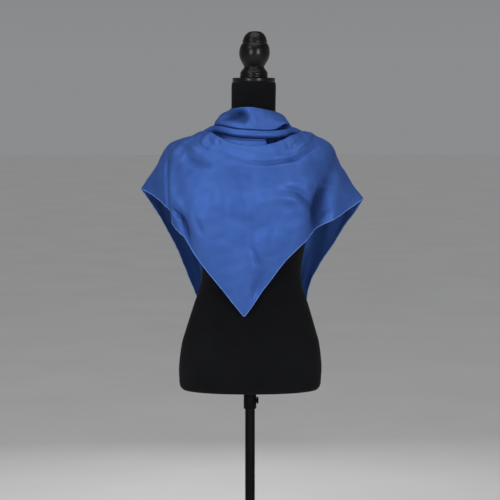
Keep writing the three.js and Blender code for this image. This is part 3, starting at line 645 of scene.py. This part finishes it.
def fold_rise(across, height, places, half_width, rise):
    """How far a fold lifts each point of the cloth: most along its middle, nothing beyond its ends."""
    places = np.array(places, float)
    fine = spline(places, np.linspace(0, len(places) - 1, 24))
    shares = np.linspace(0, 1, len(fine))
    best = np.full(across.shape, 1e9)
    along = np.zeros(across.shape)
    for start, end, low, high in zip(fine[:-1], fine[1:], shares[:-1], shares[1:]):
        heading = end - start
        length = max(heading @ heading, 1e-9)
        t = np.clip(((across - start[0]) * heading[0] + (height - start[1]) * heading[1]) / length, 0, 1)
        gap = np.hypot(across - start[0] - t * heading[0], height - start[1] - t * heading[1])
        nearer = gap < best
        best = np.where(nearer, gap, best)
        along = np.where(nearer, low + t * (high - low), along)
    strength = np.sin(math.pi * np.clip(0.02 + 0.96 * along, 0, 1)) ** 0.6
    return rise * strength * np.exp(-((best / half_width) ** 2))


def soft_noise(points, wavelength, waves=14):
    """Smooth bumps without a direction, about 1 high and one wavelength apart."""
    total = np.zeros(points.shape[:-1])
    for _ in range(waves):
        heading = random.normal(size=3)
        heading *= 2 * math.pi / (wavelength * np.linalg.norm(heading)) * random.uniform(0.7, 1.4)
        total += np.sin(points @ heading + random.uniform(0, 2 * math.pi))
    return total / math.sqrt(waves / 2)


def panel_weight(rows):
    """0 in the rolls at the neck and 1 on the open cloth below them."""
    pleat_rows = sum(PLEAT_STEPS)
    return smooth_step(pleat_rows, pleat_rows + 6, np.arange(rows))[None, :]


def band_weight(rows):
    """1 on the neck band, fading out towards its foot."""
    foot = sum(BAND_STEPS[:2])
    return (1 - smooth_step(foot - 5, foot, np.arange(rows)))[None, :]


def scarf_grid():
    """The folded scarf as a grid of points: one line for each column, from folded edge to hem."""
    grid = lines_through(scarf_controls(), LINE_STEPS)
    normals = grid_normals(grid)
    rows = grid.shape[1]
    open_cloth = panel_weight(rows)
    in_front = smooth_step(SEAM_Y + SEAM_BLEND, SEAM_Y - SEAM_BLEND, grid[..., 1])
    lift = np.zeros(grid.shape[:2])
    places_of_folds = (
        (FRONT_FOLDS, in_front * open_cloth),
        (BACK_FOLDS, (1 - in_front) * open_cloth),
        (BAND_FOLDS, in_front * band_weight(rows)),
    )
    for folds, weight in places_of_folds:
        for places, half_width, rise in folds:
            lift += weight * fold_rise(grid[..., 0], grid[..., 2], places, half_width, rise)
    calm = WIDE_RIPPLE["in_pleats"] + (1 - WIDE_RIPPLE["in_pleats"]) * open_cloth
    lift += WIDE_RIPPLE["height"] * soft_noise(grid, WIDE_RIPPLE["length"]) * calm
    lift += FINE_RIPPLE["height"] * soft_noise(grid, FINE_RIPPLE["length"])
    lift += hem_pucker(grid)
    moved = clear_of_torso(grid + normals * lift[..., None], CLOTH_CLEAR)
    # The second value is painted shade for the cloth's colour, dark deep in the folds.
    return moved, painted_fold_shade(moved, lift)


def painted_fold_shade(grid, lift):
    """Painted shade for the cloth's colour: 0 on the open cloth and 1 deep inside a fold that lies behind the
    cloth round it.
    """
    level = np.hypot(grid[..., 0] - lean_at(grid[..., 2]), grid[..., 1])
    sunk = np.maximum.accumulate(level, axis=1) - level
    in_pleats = smooth_step(*PLEAT_PAINTED_SHADE, sunk) * (1 - panel_weight(grid.shape[1]))
    return np.maximum(in_pleats, FOLD_PAINTED_SHADE_SHARE * smooth_step(*FOLD_PAINTED_SHADE, -lift))


def hem_pucker(grid):
    """Small uneven waves along the hem that die out a short way into the cloth."""
    hem = grid[:, -1]
    along = running_length(hem, 0)
    wave = np.sin(along / 2.1 + 2 * np.sin(along / 17))
    wave += 0.6 * np.sin(along / 3.4 + 1.3 * np.sin(along / 29))
    from_hem = np.linalg.norm(grid - hem[:, None], axis=2)
    return PUCKER["height"] * wave[:, None] * np.exp(-from_hem / PUCKER["reach"])


def make_mesh(name, vertices, faces, uv=None, painted_shade=None):
    """A smooth mesh object from points in millimetres counted from the torso's underside."""
    mesh = bpy.data.meshes.new(name)
    metres = np.asarray(vertices, float) * MM
    mesh.from_pydata(metres.tolist(), [], faces.tolist() if hasattr(faces, "tolist") else faces)
    mesh.polygons.foreach_set("use_smooth", [True] * len(mesh.polygons))
    if uv is not None:
        layer = mesh.uv_layers.new(name="flat")
        corners = np.zeros(len(mesh.loops), int)
        mesh.loops.foreach_get("vertex_index", corners)
        layer.data.foreach_set("uv", np.asarray(uv, np.float32)[corners].ravel())
    # Painted shade of the folds, kept on each point to darken the cloth's colour.
    if painted_shade is not None:
        painted_shade_attribute = mesh.attributes.new("painted_fold_shade", "FLOAT", "POINT")
        painted_shade_attribute.data.foreach_set("value", np.asarray(painted_shade, np.float32).ravel())
    mesh.update()
    piece = bpy.data.objects.new(name, mesh)
    bpy.context.scene.collection.objects.link(piece)
    return piece


def grid_faces(columns, rows, closed=False):
    """Square faces of a grid whose points are stored line after line."""
    count = columns if closed else columns - 1
    column = np.repeat(np.arange(count), rows - 1)
    row = np.tile(np.arange(rows - 1), count)
    following = (column + 1) % columns
    return np.stack(
        [column * rows + row, column * rows + row + 1, following * rows + row + 1, following * rows + row],
        axis=1,
    )


def above_floor(points):
    raised = np.array(points, float)
    raised[..., 2] += TORSO_BOTTOM
    return raised


def running_length(points, axis):
    """Length along each line of points from its first point."""
    steps = np.linalg.norm(np.diff(points, axis=axis), axis=-1)
    first = np.zeros_like(np.take(steps, [0], axis=axis))
    return np.concatenate([first, np.cumsum(steps, axis=axis)], axis=axis)


def make_scarf():
    # The scarf's points come with painted shade for its deep folds.
    grid, painted_shade = scarf_grid()
    columns, rows = grid.shape[:2]
    across = np.repeat(running_length(grid[:, 0], 0)[:, None], rows, axis=1)
    uv = np.stack([across, running_length(grid, 1)], axis=2).reshape(-1, 2) * MM
    scarf = make_mesh("scarf", above_floor(grid).reshape(-1, 3), grid_faces(columns, rows), uv, painted_shade)
    wall = scarf.modifiers.new("cloth", "SOLIDIFY")
    wall.thickness = CLOTH_THICK * MM
    wall.offset = -1
    return scarf, grid[:, -1]


def make_rolled_hem(path):
    """The hem's rolled tube along its path, drawn in by its stitches."""
    sides = ROLLED_HEM["sides"]
    stitch = ROLLED_HEM["stitch"]
    lengths = running_length(path, 0)
    count = int(lengths[-1] / ROLLED_HEM["step"])
    at = np.linspace(0, lengths[-1], count + 1)
    middle = np.stack([np.interp(at, lengths, path[:, axis]) for axis in range(3)], axis=1)
    heading = unit(np.gradient(middle, axis=0))
    up = unit(np.cross(heading, np.array([0.3, 0.2, 1.0])))
    side = np.cross(heading, up)
    turn = np.linspace(0, 2 * math.pi, sides, endpoint=False)
    phase = at / stitch + 0.25 * np.sin(at / 31)
    drawn_in = 1 - ROLLED_HEM["pinch"] * bell((phase - np.round(phase)) * stitch, 0, 0.8)
    wander = 1 + 0.08 * np.sin(at / 7.3) + 0.06 * np.sin(at / 3.1 + 1)
    size = (ROLLED_HEM["radius"] * drawn_in * wander)[:, None, None]
    round_it = np.cos(turn)[None, :, None] * up[:, None] + np.sin(turn)[None, :, None] * side[:, None]
    points = (middle[:, None] + size * round_it).reshape(-1, 3)
    first = np.arange(count)[:, None] * sides
    spoke = np.arange(sides)[None, :]
    following = (spoke + 1) % sides
    corners = [first + spoke, first + following, first + sides + following, first + sides + spoke]
    faces = np.stack(corners, axis=2).reshape(-1, 4).tolist()
    faces.append(list(range(sides))[::-1])
    faces.append([count * sides + index for index in range(sides)])
    return make_mesh("scarf_rolled_hem", above_floor(points), faces)


def capped_faces(segments, rows):
    """Faces of a turned shape with a flat cap at each end."""
    faces = grid_faces(segments, rows, closed=True)[:, ::-1].tolist()
    faces.append([column * rows for column in range(segments)][::-1])
    faces.append([column * rows + rows - 1 for column in range(segments)])
    return faces


def make_turned(name, rows, segments, centre=(0.0, 0.0), lean=0.0, hollow=False):
    """A turned piece from rows of radius and height. It has a cap at each end unless it is hollow."""
    rows = np.array(rows, float)
    turn = np.linspace(0, 2 * math.pi, segments, endpoint=False)[:, None]
    radius, height = rows[None, :, 0], rows[None, :, 1]
    points = np.stack(
        [
            centre[0] + radius * np.cos(turn) + lean * (height - rows[0, 1]),
            centre[1] + radius * np.sin(turn),
            np.repeat(height, segments, axis=0),
        ],
        axis=2,
    )
    if hollow:
        faces = grid_faces(segments, len(rows), closed=True)[:, ::-1]
    else:
        faces = capped_faces(segments, len(rows))
    return make_mesh(name, points.reshape(-1, 3), faces)


def make_torso():
    """The torso's cover with its blind bore, its underside and its flat top."""
    segments = 176
    stretches = ((0, 24, 10), (28, 700, 150), (703, NECK_TOP, 6))
    heights = np.concatenate([np.linspace(*stretch) for stretch in stretches])
    angles = np.linspace(0, 2 * math.pi, segments, endpoint=False)
    round_it = np.stack([np.sin(angles), -np.cos(angles), np.zeros(segments)], axis=1)
    up = np.array([0, 0, 1.0])
    skin = []
    for height in heights:
        radius = torso_radius(angles, np.full(segments, height))
        skin.append(round_it * radius[:, None] + np.array([lean_at(height), 0, height]))
    bore = COLLAR["sleeve_radius"] + FIT_GAP
    tube = POLE_RADIUS + FIT_GAP
    bore_top = COLLAR["above"]
    bore_rows = [(ON_AXIS, BORE_DEPTH), (tube, BORE_DEPTH), (tube, bore_top), (bore, bore_top), (bore, 0)]
    bore_rings = [round_it * radius + up * height for radius, height in bore_rows]
    underside = [bore_rings[-1] * (1 - share) + skin[0] * share for share in (0.25, 0.5, 0.75, 0.94)]
    middle = np.array([lean_at(NECK_TOP), 0, NECK_TOP])
    crown = [skin[-1] * (1 - share) + middle * share for share in (0.06, 0.5, 0.999)]
    rings = np.stack([*bore_rings, *underside, *skin, *crown], axis=1)
    faces = grid_faces(segments, rings.shape[1], closed=True)[:, ::-1]
    torso = make_mesh("torso_cover", above_floor(rings).reshape(-1, 3), faces)
    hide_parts("torso")
    return torso


def make_finial():
    bottom = NECK_TOP + PLATE["thick"] + 2 * FIT_GAP
    last = len(FINIAL_TURNING) - 1
    rows = spline(FINIAL_TURNING, np.linspace(0, last, last * 5 + 1)) + (0, bottom + TORSO_BOTTOM)
    finial = make_turned("finial_turned", rows, 120, centre=(lean_at(bottom), 0), lean=FINIAL_LEAN)
    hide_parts("finial")
    return finial


def bevelled(radius, low, high, bevel, steps=5):
    """Rows of a disc's side with rounded edges."""
    turns = np.linspace(0, math.pi / 2, steps)
    lower = [(radius - bevel + bevel * math.sin(t), low + bevel - bevel * math.cos(t)) for t in turns]
    upper = [(radius - bevel + bevel * math.cos(t), high - bevel + bevel * math.sin(t)) for t in turns]
    return lower + upper


def make_plate():
    bottom = TORSO_BOTTOM + NECK_TOP + FIT_GAP
    rows = bevelled(PLATE["radius"], bottom, bottom + PLATE["thick"], PLATE["bevel"])
    plate = make_turned("neck_plate_turned", rows, 120, centre=(lean_at(NECK_TOP), 0))
    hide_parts("neck_cap_plate")
    return plate


def make_collar():
    low = TORSO_BOTTOM - COLLAR["below"]
    inner = POLE_RADIUS + FIT_GAP
    sleeve_top = TORSO_BOTTOM + COLLAR["above"] - 1 - FIT_GAP
    rows = [
        (inner, sleeve_top),
        (inner, low),
        *bevelled(COLLAR["radius"], low, TORSO_BOTTOM - FIT_GAP, COLLAR["taper"]),
        (COLLAR["sleeve_radius"], TORSO_BOTTOM - FIT_GAP),
        (COLLAR["sleeve_radius"], sleeve_top),
        (inner, sleeve_top),
    ]
    collar = make_turned("collar_sleeve", rows, 72, hollow=True)
    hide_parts("collar")
    return collar


def make_thumb_screw():
    """A knurled knob on a short shank, turned along +X out of the collar."""
    segments = SCREW["grips"] * 8
    turn = np.linspace(0, 2 * math.pi, segments, endpoint=False)
    profile = [
        (SCREW["shank"], POLE_RADIUS + FIT_GAP, 0),
        (SCREW["shank"], SCREW["start"], 0),
        (SCREW["knob"] - 0.9, SCREW["start"], 0.3),
        (SCREW["knob"], SCREW["start"] + 0.9, 1),
        (SCREW["knob"], SCREW["end"] - 0.9, 1),
        (SCREW["knob"] - 0.9, SCREW["end"], 0.3),
        (SCREW["knob"] * 0.6, SCREW["end"], 0),
        (SCREW["knob"] * 0.55, SCREW["end"] - 0.5, 0),
        (ON_AXIS, SCREW["end"] - 0.5, 0),
    ]
    grip = 0.5 - 0.5 * np.cos(turn * SCREW["grips"])
    rings = []
    for radius, out, knurl in profile:
        size = radius - SCREW["grip_depth"] * knurl * grip
        rings.append(np.stack([np.full(segments, out), size * np.cos(turn), size * np.sin(turn)], axis=1))
    rings = np.stack(rings, axis=1)
    rings[..., 2] += TORSO_BOTTOM - SCREW["below"]
    knob = make_mesh("thumb_screw_knob", rings.reshape(-1, 3), capped_faces(segments, rings.shape[1]))
    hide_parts("thumb_screw")
    return knob


def make_pole():
    bottom, top = (corner.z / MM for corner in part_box("pole"))
    pole = make_turned("pole_tube", bevelled(POLE_RADIUS, bottom, top, 1.5), 72)
    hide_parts("pole")
    return pole


def make_base():
    """A round weighted disc with a rounded edge and a welded hub."""
    turns = np.linspace(0, math.pi / 2, 7)
    radius, thick, edge = BASE["radius"], BASE["thick"], BASE["edge"]
    hub, hub_top, bevel, fillet = BASE["hub"], BASE["hub_height"], BASE["bevel"], BASE["fillet"]
    socket = POLE_RADIUS + FIT_GAP
    top = thick + BASE["dome"]
    rows = [
        (ON_AXIS, 0),
        (radius - BASE["foot"], 0),
        (radius, BASE["foot"]),
        *[(radius - edge * (1 - math.cos(t)), thick - edge * (1 - math.sin(t))) for t in turns],
        *[(hub + fillet * (1 - math.sin(t)), top + fillet * (1 - math.cos(t))) for t in turns],
        *[(hub - 2 * bevel * (1 - math.cos(t)), hub_top - bevel * (1 - math.sin(t))) for t in turns],
        (socket, hub_top),
        (socket, BASE["socket_floor"]),
        (ON_AXIS, BASE["socket_floor"]),
    ]
    disc = make_turned("stand_disc", rows, 144, hollow=True)
    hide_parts("stand_base")
    return disc


class Nodes:
    """A short way to write a node material."""

    def __init__(self, name, **values):
        self.material = bpy.data.materials.new(name)
        self.material.use_nodes = True
        self.tree = self.material.node_tree
        self.shader = self.tree.nodes["Principled BSDF"]
        for label, value in values.items():
            self.shader.inputs[label.replace("_", " ")].default_value = value

    def feed(self, socket, value):
        if hasattr(value, "is_output"):
            self.tree.links.new(value, socket)
        else:
            socket.default_value = value

    def node(self, kind, settings=None, **inputs):
        made = self.tree.nodes.new(kind)
        for name, value in (settings or {}).items():
            setattr(made, name, value)
        for name, value in inputs.items():
            self.feed(made.inputs[name.replace("_", " ")], value)
        return made

    def place(self, output="Object", **changes):
        source = self.tree.nodes.new("ShaderNodeTexCoord").outputs[output]
        return self.node("ShaderNodeMapping", Vector=source, **changes).outputs["Vector"]

    def noise(self, place, **inputs):
        return self.node("ShaderNodeTexNoise", Vector=place, **inputs).outputs["Fac"]

    def waves(self, place, direction, **inputs):
        settings = {"bands_direction": direction}
        return self.node("ShaderNodeTexWave", settings, Vector=place, **inputs).outputs["Fac"]

    def math(self, operation, *values):
        made = self.node("ShaderNodeMath", {"operation": operation})
        for socket, value in zip(made.inputs, values):
            self.feed(socket, value)
        return made.outputs["Value"]

    def ramp(self, factor, low, high, dark, light):
        made = self.node("ShaderNodeValToRGB", Fac=factor)
        for element, position, colour in zip(made.color_ramp.elements, (low, high), (dark, light)):
            element.position = position
            element.color = (*colour, 1)
        return made.outputs["Color"]

    def link(self, output, name):
        self.tree.links.new(output, self.shader.inputs[name])

    def gloss(self, value, low, high):
        """Roughness between two values."""
        spread = self.node("ShaderNodeMapRange", Value=value, To_Min=low, To_Max=high)
        self.link(spread.outputs["Result"], "Roughness")

    def bump(self, height, strength, distance, below=None):
        made = self.node("ShaderNodeBump", Height=height, Strength=strength, Distance=distance)
        if below is not None:
            self.feed(made.inputs["Normal"], below)
        return made.outputs["Normal"]


def silk_material(name, dark, light):
    """Blue silk with a fine weave along the cut's own threads, faint slubs and a soft satin sheen, and
    painted shade that darkens its colour deep in the folds.
    """
    look = Nodes(
        name, Metallic=0.35, Specular_IOR_Level=0.12, Specular_Tint=(0.12, 0.25, 0.7, 1.0),
        Sheen_Weight=0.02, Sheen_Roughness=0.45, Sheen_Tint=(0.45, 0.62, 1.0, 1.0),
    )
    threads = look.place("UV", Rotation=(0, 0, math.radians(45)))
    warp = look.waves(threads, "X", Scale=560.0, Distortion=0.6)
    weft = look.waves(threads, "Y", Scale=430.0, Distortion=0.8)
    weave = look.math("MULTIPLY", warp, weft)
    along_threads = look.node("ShaderNodeMapping", Vector=threads, Scale=(900, 26, 1)).outputs["Vector"]
    slubs = look.noise(along_threads, Scale=1.0, Detail=3.0)
    clouds = look.noise(look.place(), Scale=16.0, Detail=4.0, Roughness=0.62)
    colour = look.ramp(look.math("MULTIPLY_ADD", slubs, 0.45, clouds), 0.5, 0.95, dark, light)
    # Painted shade: the colour darkens down to a fifth deep inside the folds.
    painted_shade_attribute = look.node("ShaderNodeAttribute", {"attribute_name": "painted_fold_shade"}).outputs["Fac"]
    painted_shade = look.ramp(painted_shade_attribute, 0.0, 1.0, (1.0, 1.0, 1.0), (0.2, 0.2, 0.24))
    colour_with_painted_shade = look.node("ShaderNodeMix", {"data_type": "RGBA", "blend_type": "MULTIPLY"})
    colour_with_painted_shade.inputs["Factor"].default_value = 1.0
    look.tree.links.new(colour, colour_with_painted_shade.inputs["A"])
    look.tree.links.new(painted_shade, colour_with_painted_shade.inputs["B"])
    look.link(colour_with_painted_shade.outputs["Result"], "Base Color")
    look.gloss(clouds, 0.42, 0.52)
    slub_bump = look.bump(slubs, 0.25, 0.00025)
    cloud_bump = look.bump(clouds, 0.2, 0.0012, slub_bump)
    look.link(look.bump(weave, 0.3, 0.00012, cloud_bump), "Normal")
    return look.material


def jersey_material():
    """Black fine-knit jersey: small loops in columns and a little surface fuzz."""
    sheen = {"Sheen_Weight": 0.015, "Sheen_Roughness": 0.6}
    look = Nodes("black_jersey", Roughness=0.9, Specular_IOR_Level=0.1, **sheen)
    place = look.place()
    fuzz = look.noise(place, Scale=700.0, Detail=5.0, Roughness=0.7)
    clouds = look.noise(place, Scale=9.0, Detail=3.0)
    loops = look.waves(place, "Z", Scale=260.0, Distortion=1.5)
    mixed = look.math("MULTIPLY", fuzz, clouds)
    colour = look.ramp(mixed, 0.12, 0.42, (0.0022, 0.0024, 0.0032), (0.006, 0.0065, 0.008))
    look.link(colour, "Base Color")
    fuzz_bump = look.bump(fuzz, 0.5, 0.0005)
    look.link(look.bump(loops, 0.25, 0.0003, fuzz_bump), "Normal")
    return look.material


def black_gloss_material(name, roughness, grain, strength):
    """Black paint or plastic with a slight unevenness in its gloss."""
    look = Nodes(name, Specular_IOR_Level=0.07)
    fine = look.noise(look.place(), Scale=grain, Detail=4.0)
    wide = look.noise(look.place(), Scale=18.0, Detail=4.0)
    look.link(look.ramp(wide, 0.3, 0.7, (0.002, 0.002, 0.0026), (0.004, 0.004, 0.0048)), "Base Color")
    look.gloss(wide, roughness * 0.85, roughness * 1.2)
    look.link(look.bump(fine, strength, 0.0004), "Normal")
    return look.material


def turned_wood_material():
    """Black lacquered wood with faint tool rings round its axis and grain along it."""
    look = Nodes("black_turned_wood", Specular_IOR_Level=0.24, Coat_Weight=0.03, Coat_Roughness=0.2)
    grain = look.noise(look.place(Scale=(60, 60, 7)), Scale=4.0, Detail=5.0, Roughness=0.6)
    rings = look.waves(look.place(), "Z", Scale=150.0, Distortion=0.4)
    look.link(look.ramp(grain, 0.3, 0.72, (0.0025, 0.0025, 0.003), (0.006, 0.006, 0.0065)), "Base Color")
    look.gloss(grain, 0.24, 0.34)
    look.link(look.bump(rings, 0.1, 0.0002, look.bump(grain, 0.2, 0.0004)), "Normal")
    return look.material


def floor_material():
    look = Nodes("pale_floor", Roughness=0.85, Specular_IOR_Level=0.2)
    clouds = look.noise(look.place(), Scale=1.5, Detail=3.0)
    look.link(look.ramp(clouds, 0.3, 0.7, (0.7, 0.7, 0.7), (0.74, 0.74, 0.74)), "Base Color")
    return look.material


def finish_piece(piece, body, material):
    piece.data.materials.clear()
    piece.data.materials.append(material)
    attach(piece, body)
    return piece


def build_stand():
    metal = black_gloss_material("black_stand_metal", 0.42, 900.0, 0.12)
    plastic = black_gloss_material("black_collar_plastic", 0.5, 600.0, 0.2)
    wood = turned_wood_material()
    finish_piece(make_base(), "stand", metal)
    finish_piece(make_pole(), "stand", metal)
    finish_piece(make_collar(), "bust", plastic)
    finish_piece(make_thumb_screw(), "bust", plastic)
    finish_piece(make_plate(), "bust", wood)
    finish_piece(make_finial(), "bust", wood)
    return finish_piece(make_torso(), "bust", jersey_material())


def build_scarf(torso):
    silk = silk_material("blue_silk_cloth", (0.043, 0.103, 0.358), (0.058, 0.134, 0.428))
    # The rolled hem takes a lighter copy of the silk: a painted highlight for the bright line its rounded
    # edge catches.
    highlit_edge_silk = silk_material("blue_silk_edge_painted_highlight", (0.12, 0.235, 0.62), (0.17, 0.31, 0.75))
    scarf, hem_path = make_scarf()
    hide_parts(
        "scarf_neck_band", "scarf_middle_roll", "scarf_under_roll", "scarf_front_panel",
        "scarf_left_end", "scarf_right_end",
    )
    finish_piece(scarf, "bust", silk)
    hem = make_rolled_hem(hem_path)
    finish_piece(hem, "bust", highlit_edge_silk)


def add_floor():
    """A wide pale floor."""
    mesh = bpy.data.meshes.new("floor")
    corners = [(x * FLOOR_HALF, y * FLOOR_HALF, 0) for x, y in ((-1, -1), (1, -1), (1, 1), (-1, 1))]
    mesh.from_pydata(corners, [], [(0, 1, 2, 3)])
    floor = bpy.data.objects.new("floor", mesh)
    bpy.context.scene.collection.objects.link(floor)
    mesh.materials.append(floor_material())


def aimed_at(place, target):
    """Rotation of a lamp or camera that looks from its place to a target."""
    return (Vector(target) - Vector(place)).to_track_quat("-Z", "Y").to_euler()


def add_softbox(name, place, size, power):
    light = bpy.data.lights.new(name, "AREA")
    light.shape = "RECTANGLE"
    light.size, light.size_y = size
    light.energy = power
    lamp = bpy.data.objects.new(name, light)
    lamp.location = place
    lamp.visible_camera = False
    lamp.visible_glossy = name != "rear_softbox"
    lamp.rotation_euler = aimed_at(place, CHEST)
    bpy.context.scene.collection.objects.link(lamp)


def add_sky_glow():
    sun = bpy.data.lights.new("sky_glow", "SUN")
    sun.energy = SKY_GLOW["strength"]
    sun.angle = math.radians(SKY_GLOW["spread"])
    lamp = bpy.data.objects.new("sky_glow", sun)
    lamp.rotation_euler = (math.radians(SKY_GLOW["tilt"]), 0, 0)
    bpy.context.scene.collection.objects.link(lamp)


def add_studio():
    """The soft light from all round, which is stronger low down."""
    world = bpy.data.worlds.new("studio")
    world.use_nodes = True
    tree = world.node_tree
    place = tree.nodes.new("ShaderNodeTexCoord")
    height = tree.nodes.new("ShaderNodeSeparateXYZ")
    glow = tree.nodes.new("ShaderNodeMapRange")
    limits = {"From Min": "low", "From Max": "high", "To Min": "bright", "To Max": "dark"}
    for socket, name in limits.items():
        glow.inputs[socket].default_value = STUDIO[name]
    tree.links.new(place.outputs["Generated"], height.inputs["Vector"])
    tree.links.new(height.outputs["Z"], glow.inputs["Value"])
    background = tree.nodes["Background"]
    background.inputs["Color"].default_value = (0.97, 0.98, 1, 1)
    tree.links.new(glow.outputs["Result"], background.inputs["Strength"])
    bpy.context.scene.world = world
    bpy.context.scene.view_settings.view_transform = "Standard"


def add_camera():
    data = bpy.data.cameras.new("camera")
    data.sensor_width = CAMERA["sensor"]
    data.lens = CAMERA["lens"]
    camera = bpy.data.objects.new("camera", data)
    camera.location = (0, -CAMERA["distance"], CAMERA["height"])
    camera.rotation_euler = aimed_at(camera.location, (0, 0, CAMERA["aim"]))
    bpy.context.scene.collection.objects.link(camera)
    bpy.context.scene.camera = camera


build_scarf(build_stand())
add_floor()
for softbox in SOFTBOXES:
    add_softbox(*softbox)
add_sky_glow()
add_studio()
add_camera()
